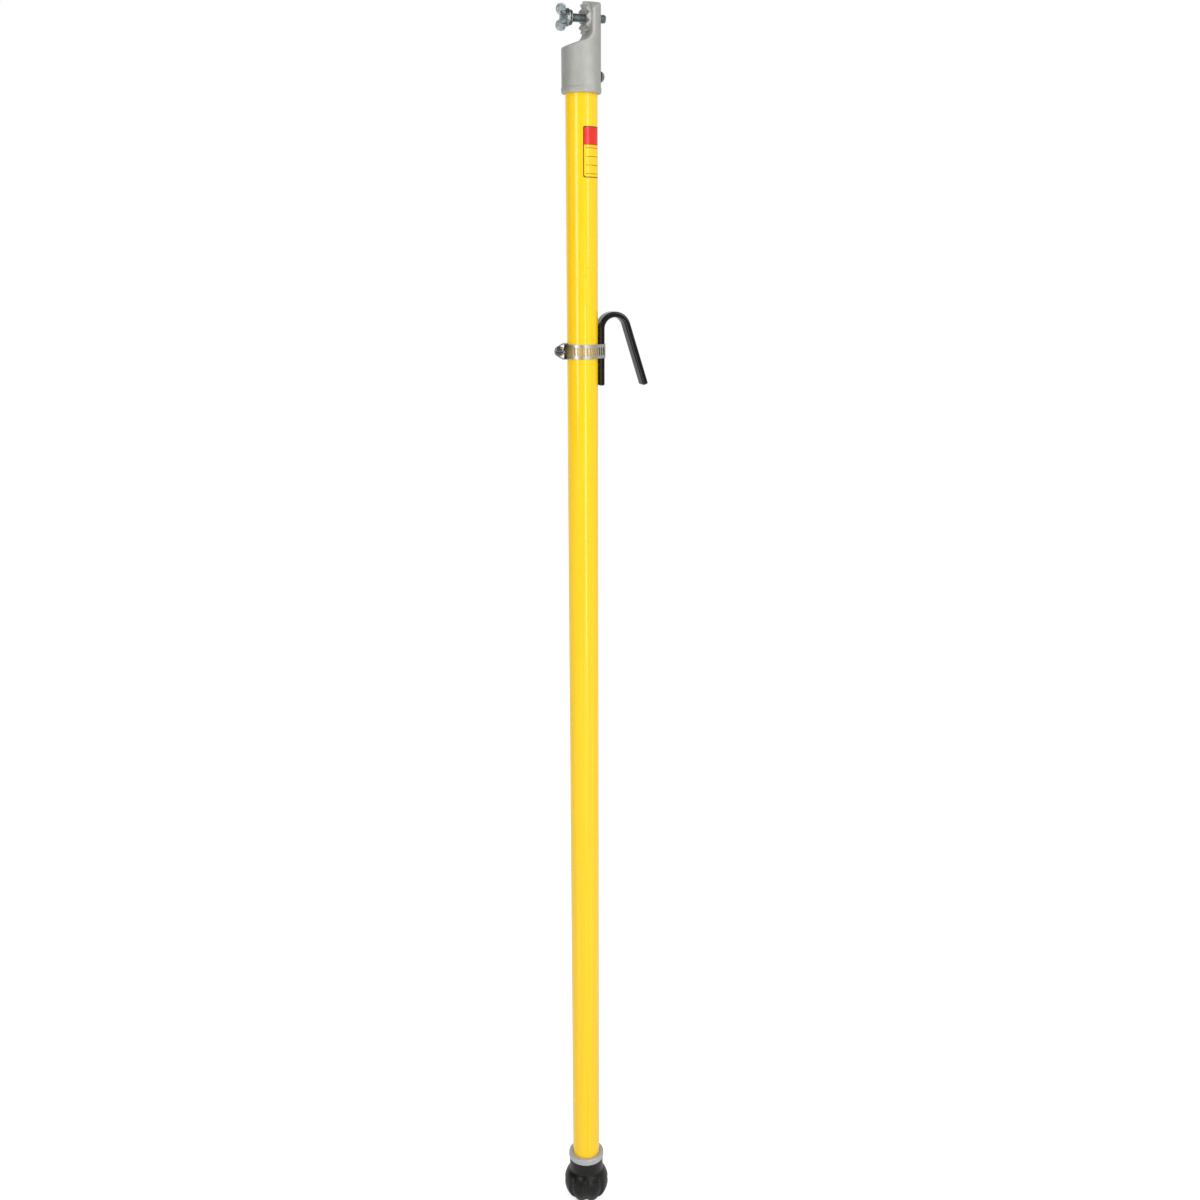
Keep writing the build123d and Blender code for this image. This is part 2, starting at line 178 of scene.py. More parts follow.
# Write-on decal
# A strip of printed vinyl film stuck round the upper pole, with a red bar, a thin dark border and ruled lines
# for a tester's notes. It is blank, and the film is under a tenth of a millimetre thick.
film = 0.06 * MM
decal_low, decal_high = 1188 * MM, 1237 * MM
bar_low = 1219 * MM
decal_start, decal_span = math.radians(-104), math.radians(144)
decal_corner = 3 * MM
border_inset, border_width = 1.1 * MM, 0.9 * MM
rules_inset = 3.2 * MM
rule_pitch_mm, rule_width_mm = 8, 0.6
decal_middle = (decal_low + decal_high) / 2
decal_half = (decal_high - decal_low) / 2


def on_decal(radius, angle, side):
    """A point of the film; its top and bottom, sides 1 and -1, draw in at both ends for round corners."""
    to_end = min(angle, decal_span - angle) * pole_radius
    drawn_in = decal_corner - math.sqrt(decal_corner**2 - max(decal_corner - to_end, 0) ** 2)
    return about_pole(radius, decal_start + angle, decal_middle + side * (decal_half - drawn_in))


under, over = pole_radius - film, pole_radius + film
film_profile = [(under, -1), (over, -1), (over, 1), (under, 1)]
decal = turned("decal", film_profile, steps=120, place=on_decal, span=decal_span)
crisp(decal, 40)

# Printed vinyl: flat ink on a yellow film under a gloss overlay, a little faded in patches. The border and
# the ruled lines are drawn wide enough to show.
printed_vinyl, tree, spot = new_material("printed_vinyl_film")
east = add_node(tree, "ShaderNodeSeparateXYZ", {"Vector": spot})
north, up = east.node.outputs["Y"], east.node.outputs["Z"]
turn = add_node(tree, "ShaderNodeMath", {0: north, 1: east}, operation="ARCTAN2")
aside = add_node(tree, "ShaderNodeMath", {0: turn, 1: decal_start + decal_span / 2}, operation="SUBTRACT")
aside = add_node(tree, "ShaderNodeMath", {0: aside}, operation="ABSOLUTE")
beyond = add_node(
    tree,
    "ShaderNodeMath",
    {0: aside, 1: pole_radius, 2: -decal_span / 2 * pole_radius},
    operation="MULTIPLY_ADD",
)
rise = add_node(tree, "ShaderNodeMath", {0: up, 1: decal_middle}, operation="SUBTRACT")
rise = add_node(tree, "ShaderNodeMath", {0: rise}, operation="ABSOLUTE")
above = add_node(tree, "ShaderNodeMath", {0: rise, 1: decal_half}, operation="SUBTRACT")
outside = add_node(tree, "ShaderNodeMath", {0: beyond, 1: above, 2: decal_corner}, operation="SMOOTH_MAX")
border = add_node(
    tree, "ShaderNodeMath", {0: outside, 1: -border_inset, 2: border_width / 2}, operation="COMPARE"
)
within = add_node(tree, "ShaderNodeMath", {0: outside, 1: -border_inset}, operation="LESS_THAN")
bar = add_node(tree, "ShaderNodeMath", {0: up, 1: bar_low}, operation="GREATER_THAN")
bar = add_node(tree, "ShaderNodeMath", {0: bar, 1: within}, operation="MULTIPLY")
rule_step = add_node(tree, "ShaderNodeMath", {0: up, 1: per_mm(rule_pitch_mm)}, operation="MULTIPLY")
rule_step = add_node(tree, "ShaderNodeMath", {0: rule_step}, operation="FRACT")
rules = add_node(
    tree, "ShaderNodeMath", {0: rule_step, 1: rule_width_mm / rule_pitch_mm}, operation="LESS_THAN"
)
inset = add_node(tree, "ShaderNodeMath", {0: outside, 1: -rules_inset}, operation="LESS_THAN")
rules = add_node(tree, "ShaderNodeMath", {0: rules, 1: inset}, operation="MULTIPLY")
fading = add_node(tree, "ShaderNodeTexNoise", {"Vector": spot, "Scale": per_mm(5), "Detail": 5.0})
field = add_node(
    tree, "ShaderNodeMix", {0: fading, 6: linear("ffca00"), 7: linear("ffd60a")}, data_type="RGBA"
)
red = add_node(tree, "ShaderNodeMix", {0: fading, 6: linear("e01b16"), 7: linear("ee2f26")}, data_type="RGBA")
ruled = add_node(tree, "ShaderNodeMix", {0: rules, 6: field, 7: linear("7d5513")}, data_type="RGBA")
barred = add_node(tree, "ShaderNodeMix", {0: bar, 6: ruled, 7: red}, data_type="RGBA")
print_colour = add_node(tree, "ShaderNodeMix", {0: border, 6: barred, 7: linear("5a2f0a")}, data_type="RGBA")
overlay = add_node(tree, "ShaderNodeMapRange", {"Value": fading, "To Min": 0.2, "To Max": 0.3})
add_node(tree, "Principled BSDF", {"Base Color": print_colour, "Roughness": overlay, "IOR": 1.5})
dress(decal, "pole", printed_vinyl, "fibreglass_yellow")

# Fillings of the pole
# Closed-cell foam keeps water out of the tube, and a cast resin plug seals each end over it.
# They can't be seen in the finished stick, and are kept as the solids that they are.

# Closed-cell foam: matt and pale, with cells about 0.8 mm across.
foam, tree, spot = new_material("closed_cell_foam")
cells = add_node(tree, "ShaderNodeTexVoronoi", {"Vector": spot, "Scale": per_mm(0.8)})
shade = add_node(
    tree, "ShaderNodeMix", {0: cells, 6: linear("cfc49a"), 7: linear("efe7c8")}, data_type="RGBA"
)
pores = add_node(tree, "ShaderNodeBump", {"Height": cells, "Strength": 0.5, "Distance": 0.2 * MM})
add_node(tree, "Principled BSDF", {"Base Color": shade, "Roughness": 0.9, "Normal": pores})

# Cast resin: cloudy amber, sawn off flat.
plug_resin, tree, spot = new_material("cast_polyester_resin")
cloud = add_node(tree, "ShaderNodeTexNoise", {"Vector": spot, "Scale": per_mm(6), "Detail": 4.0})
shade = add_node(
    tree, "ShaderNodeMix", {0: cloud, 6: linear("8a7648"), 7: linear("b59c66")}, data_type="RGBA"
)
sawn = add_node(tree, "ShaderNodeBump", {"Height": cloud, "Strength": 0.2, "Distance": 0.1 * MM})
add_node(tree, "Principled BSDF", {"Base Color": shade, "Roughness": 0.5, "Normal": sawn})

for node, material in (("foam_core", foam), ("head_plug", plug_resin), ("butt_plug", plug_resin)):
    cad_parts[node].data.materials.clear()
    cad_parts[node].data.materials.append(material)

# Butt cup
# A drawn aluminium cup glued over the bottom of the tube; its rolled collar shows above the rubber.
# The collar was turned and left satin, so fine rings run round it.
satin_aluminium, tree, spot = new_material("turned_aluminium_satin")
rings = add_node(tree, "ShaderNodeMapping", {"Vector": spot, "Scale": (0.02, 0.02, 1)})
turning = add_node(tree, "ShaderNodeTexNoise", {"Vector": rings, "Scale": per_mm(0.35), "Detail": 3.0})
dulling = add_node(tree, "ShaderNodeTexNoise", {"Vector": spot, "Scale": per_mm(5), "Detail": 5.0})
shade = add_node(
    tree, "ShaderNodeMix", {0: dulling, 6: linear("aeb0b2"), 7: linear("c6c8ca")}, data_type="RGBA"
)
satin = add_node(tree, "ShaderNodeMapRange", {"Value": turning, "To Min": 0.38, "To Max": 0.52})
rings_cut = add_node(tree, "ShaderNodeBump", {"Height": turning, "Strength": 0.3, "Distance": 0.04 * MM})
add_node(
    tree,
    "Principled BSDF",
    {"Base Color": shade, "Metallic": 0.45, "Roughness": satin, "Normal": rings_cut},
)


def softened(name, node, voxel, passes):
    """A copy of a solid's surface, remeshed at a voxel in millimetres and eased to round its edges."""
    piece = bpy.data.objects.new(name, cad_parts[node].data.copy())
    bpy.context.collection.objects.link(piece)
    remesh = piece.modifiers.new("remesh", "REMESH")
    remesh.mode = "VOXEL"
    remesh.voxel_size = voxel * MM
    ease = piece.modifiers.new("ease", "SMOOTH")
    ease.factor = 0.5
    ease.iterations = passes
    depsgraph = bpy.context.evaluated_depsgraph_get()
    mesh = bpy.data.meshes.new_from_object(piece.evaluated_get(depsgraph))
    piece.modifiers.clear()
    piece.data = mesh
    mesh.shade_smooth()
    return piece


cup = softened("butt_cup", "butt_ferrule", voxel=0.5, passes=3)
dress(cup, "pole", satin_aluminium, "collar_aluminium", "butt_ferrule")

# Rubber foot
# A lobed ball moulded in black natural rubber on the cup; it grips the ground and spares the pole's end.
# Grooves between the lobes let it give when the stick is set down hard. Their edges are scuffed grey.
rubber, tree, spot = new_material("moulded_rubber_black")
grain = add_node(tree, "ShaderNodeTexNoise", {"Vector": spot, "Scale": per_mm(0.6), "Detail": 5.0})
bloom = add_node(tree, "ShaderNodeTexNoise", {"Vector": spot, "Scale": per_mm(9), "Detail": 6.0})
dusty = add_node(tree, "ShaderNodeMapRange", {"Value": bloom, "From Min": 0.45, "From Max": 0.75})
edges = add_node(tree, "ShaderNodeAttribute", {}, attribute_name="wear").node.outputs["Fac"]
scuffed = add_node(
    tree, "ShaderNodeMapRange", {"Value": edges, "From Min": 0.02, "From Max": 0.07, "To Max": 0.6}
)
moulded = add_node(
    tree, "ShaderNodeMix", {0: dusty, 6: linear("080707"), 7: linear("151413")}, data_type="RGBA"
)
shade = add_node(tree, "ShaderNodeMix", {0: scuffed, 6: moulded, 7: linear("2c2a29")}, data_type="RGBA")
matt = add_node(tree, "ShaderNodeMapRange", {"Value": bloom, "To Min": 0.26, "To Max": 0.42})
skin = add_node(tree, "ShaderNodeBump", {"Height": grain, "Strength": 0.15, "Distance": 0.12 * MM})
add_node(tree, "Principled BSDF", {"Base Color": shade, "Roughness": matt, "Normal": skin, "IOR": 1.4})


def mark_wear(piece, rounds):
    """Stores on each point how far it stands out from its neighbours, evened over some rounds, as wear."""
    mesh = piece.data
    count = len(mesh.vertices)
    ends = np.empty(len(mesh.edges) * 2, dtype=np.int32)
    places = np.empty(count * 3, dtype=np.float32)
    normals = np.empty(count * 3, dtype=np.float32)
    mesh.edges.foreach_get("vertices", ends)
    mesh.vertices.foreach_get("co", places)
    mesh.vertices.foreach_get("normal", normals)
    first, second = ends.reshape(-1, 2).T
    normals = normals.reshape(-1, 3)
    places = places.reshape(-1, 3)
    steps = places[second] - places[first]
    steps /= np.linalg.norm(steps, axis=1, keepdims=True) + 1e-12
    neighbours = np.maximum(np.bincount(ends, minlength=count), 1)
    below_first = -(normals[first] * steps).sum(axis=1)
    below_second = (normals[second] * steps).sum(axis=1)
    wear = np.bincount(first, below_first, count) + np.bincount(second, below_second, count)
    wear /= neighbours
    for _ in range(rounds):
        wear = np.bincount(first, wear[second], count) + np.bincount(second, wear[first], count)
        wear /= neighbours
    stored = mesh.attributes.new("wear", "FLOAT", "POINT")
    stored.data.foreach_set("value", wear.astype(np.float32))


foot = softened("foot", "rubber_foot", voxel=0.7, passes=6)
mark_wear(foot, rounds=6)
dress(foot, "pole", rubber, "rubber_black", "rubber_foot")

# Universal head
# A sand casting in aluminium: a skirt glued round the tube, a sloping shoulder, and a tongue with the
# serrated disc that tools are clamped against. Tumbling after casting rounds its edges.

# Sand-cast aluminium: a dull grey skin with the grain of the sand and a pit here and there, rubbed brighter
# on the edges. The grain is drawn 0.9 mm coarse, to show.
cast_aluminium, tree, spot = new_material("sand_cast_aluminium")
sand = add_node(tree, "ShaderNodeTexNoise", {"Vector": spot, "Scale": per_mm(0.9), "Detail": 5.0})
pits = add_node(tree, "ShaderNodeTexVoronoi", {"Vector": spot, "Scale": per_mm(2.2)})
chance = add_node(tree, "ShaderNodeSeparateXYZ", {"Vector": pits.node.outputs["Color"]})
depth = add_node(
    tree, "ShaderNodeMapRange", {"Value": chance, "From Min": 0.55, "From Max": 1.0, "To Max": 0.35}
)
flow = add_node(tree, "ShaderNodeTexNoise", {"Vector": spot, "Scale": per_mm(11), "Detail": 5.0})
poured = add_node(
    tree, "ShaderNodeMix", {0: flow, 6: linear("a9a9a4"), 7: linear("c3c3be")}, data_type="RGBA"
)
hollow = add_node(
    tree,
    "ShaderNodeMapRange",
    {"Value": pits, "From Min": 0.02, "From Max": 0.2, "To Min": depth, "To Max": 0.0},
)
pocked = add_node(tree, "ShaderNodeMix", {0: hollow, 6: poured, 7: linear("84847f")}, data_type="RGBA")
edges = add_node(tree, "ShaderNodeAttribute", {}, attribute_name="wear").node.outputs["Fac"]
rubbed = add_node(
    tree, "ShaderNodeMapRange", {"Value": edges, "From Min": 0.015, "From Max": 0.08, "To Max": 0.7}
)
shade = add_node(tree, "ShaderNodeMix", {0: rubbed, 6: pocked, 7: linear("d6d6d3")}, data_type="RGBA")
tumbled = add_node(tree, "ShaderNodeMapRange", {"Value": sand, "To Min": 0.5, "To Max": 0.66})
sand_skin = add_node(tree, "ShaderNodeBump", {"Height": sand, "Strength": 0.9, "Distance": 0.4 * MM})
pitted = add_node(
    tree,
    "ShaderNodeBump",
    {"Height": hollow, "Strength": 0.6, "Distance": 0.3 * MM, "Normal": sand_skin},
    invert=True,
)
add_node(
    tree, "Principled BSDF", {"Base Color": shade, "Metallic": 0.55, "Roughness": tumbled, "Normal": pitted}
)
head = softened("head", "universal_head", voxel=0.35, passes=3)
mark_wear(head, rounds=6)
dress(head, "pole", cast_aluminium, "cast_aluminium", "universal_head")

# Head rivet
# A solid aluminium rivet that pins the skirt, the tube and the plug; its dome is set on the hook's side.
# The setting tool leaves it smoother than the casting, and a painted shade darkens the ring where the dome
# meets the skirt.
set_aluminium, tree, spot = new_material("set_aluminium_rivet")
marks = add_node(tree, "ShaderNodeTexNoise", {"Vector": spot, "Scale": per_mm(1.5), "Detail": 5.0})
upset = add_node(
    tree, "ShaderNodeMix", {0: marks, 6: linear("8f8e8b"), 7: linear("b5b4b1")}, data_type="RGBA"
)
outwards = add_node(tree, "ShaderNodeSeparateXYZ", {"Vector": spot})
dome_height = 4.4 * MM
dome_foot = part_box("head_rivet")[1][0] - dome_height
from_foot = add_node(tree, "ShaderNodeMath", {0: outwards, 1: dome_foot}, operation="SUBTRACT")
from_foot = add_node(tree, "ShaderNodeMath", {0: from_foot}, operation="ABSOLUTE")
# Painted shade: the colour goes nearly black in a thin ring round the foot of the dome, where it stands on
# the skirt.
painted_shade_under_dome = add_node(
    tree,
    "ShaderNodeMapRange",
    {"Value": from_foot, "From Min": 0.4 * MM, "From Max": 0.9 * MM, "To Min": 0.9, "To Max": 0.0},
)
shade = add_node(tree, "ShaderNodeMix", {0: painted_shade_under_dome, 6: upset, 7: linear("1d1a17")}, data_type="RGBA")
smooth = add_node(tree, "ShaderNodeMapRange", {"Value": marks, "To Min": 0.3, "To Max": 0.5})
dents = add_node(tree, "ShaderNodeBump", {"Height": marks, "Strength": 0.2, "Distance": 0.1 * MM})
add_node(
    tree,
    "Principled BSDF",
    {"Base Color": shade, "Metallic": 1.0, "Roughness": smooth, "Normal": dents},
)
rivet = softened("rivet", "head_rivet", voxel=0.25, passes=3)
dress(rivet, "pole", set_aluminium, "rivet_aluminium", "head_rivet")

# Wing screw
# A forged wing head on a 5/16-18 stud, zinc plated; it draws a tool's lug against the teeth of the disc.
# The plating is bright, with a faint blue cast and cloudy patches.
zinc, tree, spot = new_material("zinc_plated_steel")
patches = add_node(tree, "ShaderNodeTexNoise", {"Vector": spot, "Scale": per_mm(2.5), "Detail": 5.0})
plated = add_node(
    tree, "ShaderNodeMix", {0: patches, 6: linear("747f82"), 7: linear("a6aeaf")}, data_type="RGBA"
)
edges = add_node(tree, "ShaderNodeAttribute", {}, attribute_name="wear").node.outputs["Fac"]
rubbed = add_node(
    tree, "ShaderNodeMapRange", {"Value": edges, "From Min": 0.02, "From Max": 0.1, "To Max": 0.8}
)
shade = add_node(tree, "ShaderNodeMix", {0: rubbed, 6: plated, 7: linear("d2d6d6")}, data_type="RGBA")
cloudy = add_node(tree, "ShaderNodeMapRange", {"Value": patches, "To Min": 0.26, "To Max": 0.44})
forged = add_node(tree, "ShaderNodeBump", {"Height": patches, "Strength": 0.05, "Distance": 0.1 * MM})
add_node(
    tree,
    "Principled BSDF",
    {"Base Color": shade, "Metallic": 1.0, "Roughness": cloudy, "Normal": forged},
)
wing_head = softened("wing_head", "wing_screw", voxel=0.2, passes=3)
wing_low, wing_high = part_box("wing_screw")
screw_level = (wing_high[2] + wing_low[2]) / 2
wing_lean = math.radians(8)
wing_half, flange = 1.8 * MM, 2.2 * MM
hub_back = wing_high[0] - flange
hub_depth = 5.4 * MM
waist_start, waist_gain, waist_most = 0.45, 0.45, 0.9
flange_bevel = 0.17
screw_line = Vector((0, 0, screw_level))
across = Vector((0, math.cos(wing_lean), math.sin(wing_lean)))
# The hub tapers to the wings behind the flange, and the flange is bevelled.
for vertex in wing_head.data.vertices:
    stand = (vertex.co - screw_line).dot(across)
    behind = (hub_back - vertex.co.x) / hub_depth
    if behind > 0 and abs(stand) > wing_half:
        waist = min(waist_start + waist_gain * behind, waist_most)
        drawn_down = waist * (abs(stand) - wing_half)
        vertex.co -= across * math.copysign(drawn_down, stand)
    elif behind <= 0:
        bevel = flange_bevel * (wing_high[0] - vertex.co.x) / flange
        vertex.co -= bevel * (vertex.co - screw_line) * Vector((0, 1, 1))
mark_wear(wing_head, rounds=4)
dress(wing_head, "screw", zinc, "zinc_steel", "wing_screw")

stud_low, stud_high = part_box("screw_stud")
stud_start = hub_back
stud_radius = (stud_high[2] - stud_low[2]) / 2
thread_pitch = 25.4 / 18 * MM
thread_depth = 0.61 * thread_pitch
tip_depth = thread_depth * 1.2
steps_per_turn = 32
points_per_pitch = 8
thread_profile = (0, 0.1, 0.55, 1, 1, 0.55, 0.1, 0)
thread_length = stud_high[0] - stud_start
rows = int(thread_length / thread_pitch * points_per_pitch)
stud_points = []
for row in range(rows + 1):
    for step in range(steps_per_turn):
        along = min(row / points_per_pitch, thread_length / thread_pitch)
        phase = (along - step / steps_per_turn) % 1 * len(thread_profile)
        first = thread_profile[int(phase)]
        second = thread_profile[(int(phase) + 1) % len(thread_profile)]
        depth = (first + (second - first) * (phase % 1)) * thread_depth
        tip_room = (rows - row) / points_per_pitch * thread_pitch
        radius = min(stud_radius - depth, stud_radius - tip_depth + tip_room)
        angle = 2 * math.pi * step / steps_per_turn
        stud_points.append(
            (
                stud_start + along * thread_pitch,
                radius * math.cos(angle),
                screw_level + radius * math.sin(angle),
            )
        )
stud_faces = [tuple(range(steps_per_turn)), tuple(range(rows * steps_per_turn, (rows + 1) * steps_per_turn))]
for row in range(rows):
    for step in range(steps_per_turn):
        here = row * steps_per_turn
        beside = (step + 1) % steps_per_turn
        stud_faces.append(
            (here + step, here + beside, here + steps_per_turn + beside, here + steps_per_turn + step)
        )
stud = new_piece("stud", stud_points, stud_faces)
dress(stud, "screw", zinc, "zinc_steel", "screw_stud")

# Washers of the wing screw
# A punched flat washer and a split spring washer of square wire, loose on the stud under the flange.
# The spring washer is one turn of a helix, so its cut ends stand apart.


def about_screw(radius, angle, along):
    """A point about the wing screw's axis."""
    return (along, radius * math.sin(angle), screw_level + radius * math.cos(angle))


flat_low, flat_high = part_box("flat_washer")
flat_radius = (flat_high[2] - flat_low[2]) / 2
washer_play = 0.35 * MM
washer_bore = stud_radius + washer_play
punch_round = 0.3 * MM
flat_washer = turned(
    "flat_washer_piece",
    [
        (washer_bore, flat_low[0]),
        (flat_radius - punch_round, flat_low[0]),
        (flat_radius, flat_low[0] + punch_round),
        (flat_radius, flat_high[0] - punch_round),
        (flat_radius - punch_round, flat_high[0]),
        (washer_bore, flat_high[0]),
    ],
    steps=72,
    place=about_screw,
)
crisp(flat_washer, 35)
dress(flat_washer, "screw_washers", zinc, "zinc_steel", "flat_washer")

# Plated spring steel: drawn wire with a thin plating, darker and more uneven than the zinc.
spring_steel, tree, spot = new_material("plated_spring_steel")
patches = add_node(tree, "ShaderNodeTexNoise", {"Vector": spot, "Scale": per_mm(1.2), "Detail": 5.0})
shade = add_node(
    tree, "ShaderNodeMix", {0: patches, 6: linear("6f746f"), 7: linear("a3a7a0")}, data_type="RGBA"
)
cloudy = add_node(tree, "ShaderNodeMapRange", {"Value": patches, "To Min": 0.28, "To Max": 0.5})
drawn = add_node(tree, "ShaderNodeBump", {"Height": patches, "Strength": 0.2, "Distance": 0.08 * MM})
add_node(
    tree,
    "Principled BSDF",
    {"Base Color": shade, "Metallic": 1.0, "Roughness": cloudy, "Normal": drawn},
)

spring_low, spring_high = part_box("lock_washer")
spring_radius = (spring_high[1] - spring_low[1]) / 2
spring_slit = 1.2 * MM
spring_lift = 0.5 * MM
spring_wire = spring_high[0] - spring_low[0] - spring_lift
wire_round = 0.25 * MM
slit_angle = spring_slit / spring_radius
spring_span = 2 * math.pi - slit_angle


def on_helix(radius, angle, along):
    """A point of the spring washer, which climbs as it goes round."""
    rise = spring_low[0] + spring_lift * angle / spring_span + along
    return about_screw(radius, angle + slit_angle / 2, rise)


spring_washer = turned(
    "spring_washer",
    [
        (washer_bore + wire_round, 0),
        (spring_radius - wire_round, 0),
        (spring_radius, wire_round),
        (spring_radius, spring_wire - wire_round),
        (spring_radius - wire_round, spring_wire),
        (washer_bore + wire_round, spring_wire),
        (washer_bore, spring_wire - wire_round),
        (washer_bore, wire_round),
    ],
    steps=64,
    place=on_helix,
    span=spring_span,
)
crisp(spring_washer, 50)
dress(spring_washer, "screw_washers", spring_steel, "spring_steel", "lock_washer")

# Hanging hook
# A mild steel strip bent into a crook and dipped in black vinyl, so that it can hang on a bare line.
# The dip leaves a thick glossy skin with soft edges and a faint orange-peel ripple.

# Bare mild steel: grey hot-rolled scale in patches. The vinyl hides it.
hook_steel, tree, spot = new_material("bare_mild_steel")
scale = add_node(tree, "ShaderNodeTexNoise", {"Vector": spot, "Scale": per_mm(3), "Detail": 5.0})
shade = add_node(
    tree, "ShaderNodeMix", {0: scale, 6: linear("5a5a5c"), 7: linear("7d7c7a")}, data_type="RGBA"
)
rolled = add_node(tree, "ShaderNodeBump", {"Height": scale, "Strength": 0.2, "Distance": 0.1 * MM})
add_node(tree, "Principled BSDF", {"Base Color": shade, "Metallic": 1.0, "Roughness": 0.5, "Normal": rolled})
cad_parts["hook_strip"].data.materials.clear()
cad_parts["hook_strip"].data.materials.append(hook_steel)

# Dipped vinyl: black and glossy, with slow sags and a fine ripple in what it mirrors.
vinyl, tree, spot = new_material("dipped_vinyl_black")
peel = add_node(tree, "ShaderNodeTexNoise", {"Vector": spot, "Scale": per_mm(1.4), "Detail": 2.0})
sags = add_node(tree, "ShaderNodeTexNoise", {"Vector": spot, "Scale": per_mm(9), "Detail": 2.0})
shade = add_node(tree, "ShaderNodeMix", {0: sags, 6: linear("060506"), 7: linear("100f10")}, data_type="RGBA")
shine = add_node(tree, "ShaderNodeMapRange", {"Value": sags, "To Min": 0.08, "To Max": 0.16})
dip = add_node(tree, "ShaderNodeBump", {"Height": sags, "Strength": 0.2, "Distance": 0.4 * MM})
ripple = add_node(
    tree, "ShaderNodeBump", {"Height": peel, "Strength": 0.06, "Distance": 0.1 * MM, "Normal": dip}
)
add_node(tree, "Principled BSDF", {"Base Color": shade, "Roughness": shine, "Normal": ripple, "IOR": 1.45})
hook = softened("hook", "hook_coating", voxel=0.45, passes=6)
dress(hook, "hanger", vinyl, "vinyl_black", "hook_coating")

# Worm clamp
# A stainless hose clamp holds the hook's stem to the pole: slotted band, pressed housing and hex-headed worm.
# The band is bright rolled strip, so fine lines run along it.
rolled_stainless, tree, spot = new_material("rolled_stainless_strip")
bandwise = add_node(tree, "ShaderNodeMapping", {"Vector": spot, "Scale": (0.03, 0.03, 1)})
lines = add_node(tree, "ShaderNodeTexNoise", {"Vector": bandwise, "Scale": per_mm(0.3), "Detail": 3.0})
smears = add_node(tree, "ShaderNodeTexNoise", {"Vector": spot, "Scale": per_mm(6), "Detail": 4.0})
shade = add_node(
    tree, "ShaderNodeMix", {0: smears, 6: linear("b9b6b0"), 7: linear("dcdad6")}, data_type="RGBA"
)
polish = add_node(tree, "ShaderNodeMapRange", {"Value": lines, "To Min": 0.28, "To Max": 0.44})
rolled = add_node(tree, "ShaderNodeBump", {"Height": lines, "Strength": 0.25, "Distance": 0.03 * MM})
add_node(
    tree,
    "Principled BSDF",
    {"Base Color": shade, "Metallic": 1.0, "Roughness": polish, "Normal": rolled},
)
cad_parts["clamp_band"].data.materials.clear()
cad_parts["clamp_band"].data.materials.append(rolled_stainless)

# Pressed stainless: the housing and the worm are smoother than the band and mirror the room, with dull marks.
pressed_stainless, tree, spot = new_material("pressed_stainless")
marks = add_node(tree, "ShaderNodeTexNoise", {"Vector": spot, "Scale": per_mm(1.8), "Detail": 4.0})
shade = add_node(
    tree, "ShaderNodeMix", {0: marks, 6: linear("a09a94"), 7: linear("bdb8b2")}, data_type="RGBA"
)
polish = add_node(tree, "ShaderNodeMapRange", {"Value": marks, "To Min": 0.12, "To Max": 0.24})
pressed = add_node(tree, "ShaderNodeBump", {"Height": marks, "Strength": 0.08, "Distance": 0.06 * MM})
add_node(
    tree,
    "Principled BSDF",
    {"Base Color": shade, "Metallic": 1.0, "Roughness": polish, "Normal": pressed},
)
housing = softened("housing", "clamp_housing", voxel=0.15, passes=3)
dress(housing, "hanger", pressed_stainless, "stainless", "clamp_housing")
worm_screw = softened("worm_screw", "clamp_screw", voxel=0.15, passes=2)
dress(worm_screw, "worm", pressed_stainless, "stainless", "clamp_screw")

# Studio
# The stick stands on a pale floor before white paper, lit by three soft boxes and an overhead fill,
# and the camera looks slightly down at it from the front left.
world = bpy.data.worlds.new("studio_paper")
bpy.context.scene.world = world
world.use_nodes = True
tree = world.node_tree
rays = tree.nodes.new("ShaderNodeLightPath").outputs
mirrored = add_node(
    tree, "ShaderNodeMath", {0: rays["Is Glossy Ray"], 1: rays["Is Transmission Ray"]}, operation="MAXIMUM"
)
direction = tree.nodes.new("ShaderNodeTexCoord").outputs["Generated"]
facing = tree.nodes.new("ShaderNodeSeparateXYZ")
tree.links.new(direction, facing.inputs[0])
# The camera sees white paper. A mirror sees that sheet behind the stick and grey walls that darken to the
# left, and the light that falls on matt surfaces is set apart from both.
sheet = add_node(
    tree, "ShaderNodeMapRange", {"Value": facing.outputs["Y"], "From Min": 0.6, "From Max": 0.95}
)
walls = add_node(
    tree,
    "ShaderNodeMapRange",
    {"Value": facing.outputs["X"], "From Min": -0.4, "From Max": 1.0, "To Min": 0.12, "To Max": 0.55},
)
reflected = add_node(tree, "ShaderNodeMath", {0: sheet, 1: walls}, operation="MAXIMUM")
unseen = add_node(tree, "ShaderNodeMapRange", {"Value": mirrored, "To Min": 0.66, "To Max": reflected})
level = add_node(
    tree, "ShaderNodeMapRange", {"Value": rays["Is Camera Ray"], "To Min": unseen, "To Max": 1.0}
)
add_node(tree, "Background", {"Color": (1, 1, 1, 1), "Strength": level})

pole_middle = Vector((0, 0, 0.7))


def soft_lamp(name, azimuth, distance, height, size, power):
    """A soft lamp that faces the pole from an azimuth in degrees, 0 being straight in front."""
    data = bpy.data.lights.new(name, "AREA")
    data.shape = "RECTANGLE"
    data.size, data.size_y = size
    data.energy = power
    lamp = bpy.data.objects.new(name, data)
    angle = math.radians(azimuth)
    lamp.location = (distance * math.sin(angle), -distance * math.cos(angle), height)
    aim = pole_middle - lamp.location
    lamp.rotation_euler = aim.to_track_quat("-Z", "Y").to_euler()
    bpy.context.collection.objects.link(lamp)


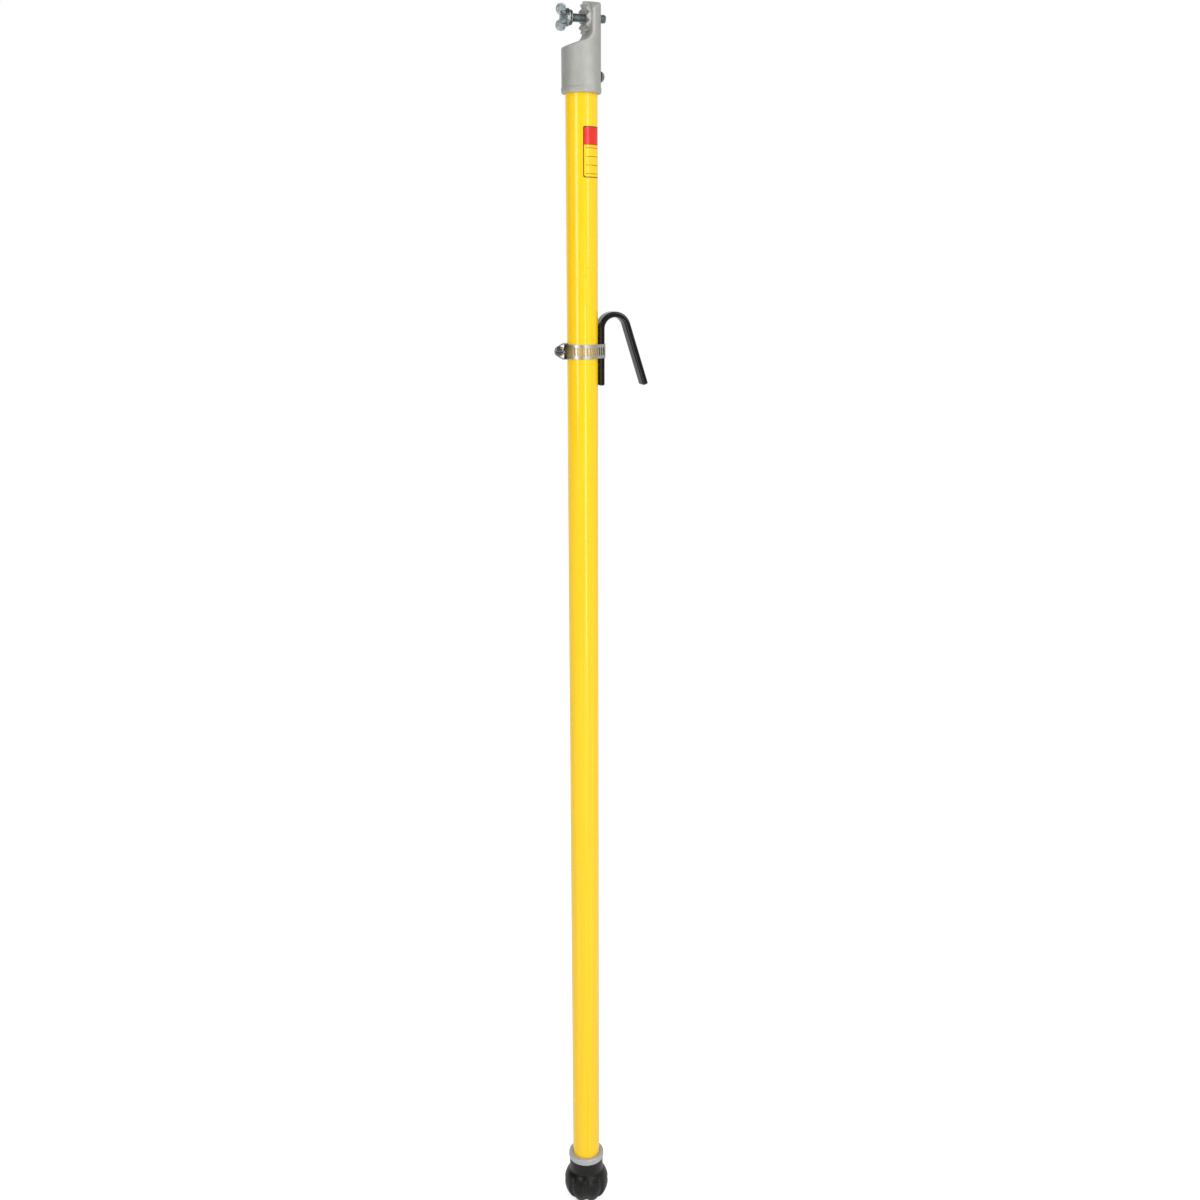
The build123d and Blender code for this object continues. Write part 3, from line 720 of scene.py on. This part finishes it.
soft_lamp("left", -54.5, 1.8, 1.3, (0.5, 1.2), 9)
soft_lamp("right", 28, 1.8, 1.55, (0.4, 1.0), 5.5)
soft_lamp("right_low", 4, 1.8, 0.55, (0.3, 0.9), 4)
soft_lamp("overhead", 20, 2.2, 2.6, (2.0, 2.0), 20)

# Paper: matt, nearly white, with a faint fibre. It glows for the camera, to meet the white behind it.
paper, tree, spot = new_material("pale_paper_floor")
fibre = add_node(tree, "ShaderNodeTexNoise", {"Vector": spot, "Scale": per_mm(2), "Detail": 4.0})
shade = add_node(
    tree, "ShaderNodeMix", {0: fibre, 6: linear("dcdcda"), 7: linear("e3e3e1")}, data_type="RGBA"
)
rays = tree.nodes.new("ShaderNodeLightPath").outputs
mirrored = add_node(
    tree, "ShaderNodeMath", {0: rays["Is Glossy Ray"], 1: rays["Is Transmission Ray"]}, operation="MAXIMUM"
)
mirror_glow = add_node(tree, "ShaderNodeMapRange", {"Value": mirrored, "To Min": 0.0, "To Max": 0.1})
glow = add_node(
    tree,
    "ShaderNodeMapRange",
    {"Value": rays["Is Camera Ray"], "To Min": mirror_glow, "To Max": 0.6},
)
add_node(
    tree,
    "Principled BSDF",
    {"Base Color": shade, "Roughness": 0.9, "Emission Color": (1, 1, 1, 1), "Emission Strength": glow},
)
floor_half = 6.0
corners = ((-1, -1), (1, -1), (1, 1), (-1, 1))
floor = new_piece("floor", [(floor_half * x, floor_half * y, 0) for x, y in corners], [(0, 1, 2, 3)])
floor.data.materials.append(paper)

camera_data = bpy.data.cameras.new("camera")
camera_data.sensor_width = 36
camera_data.lens = 38.6
camera = bpy.data.objects.new("camera", camera_data)
camera.location = (-0.3972, -1.2820, 1.1149)
camera_roll = Matrix.Rotation(math.radians(-0.079), 3, "Z")
camera_aim = Euler((math.radians(75), 0, math.radians(-17.967))).to_matrix()
camera.rotation_euler = (camera_aim @ camera_roll).to_euler()
bpy.context.collection.objects.link(camera)
bpy.context.scene.camera = camera
bpy.context.scene.view_settings.view_transform = "Standard"
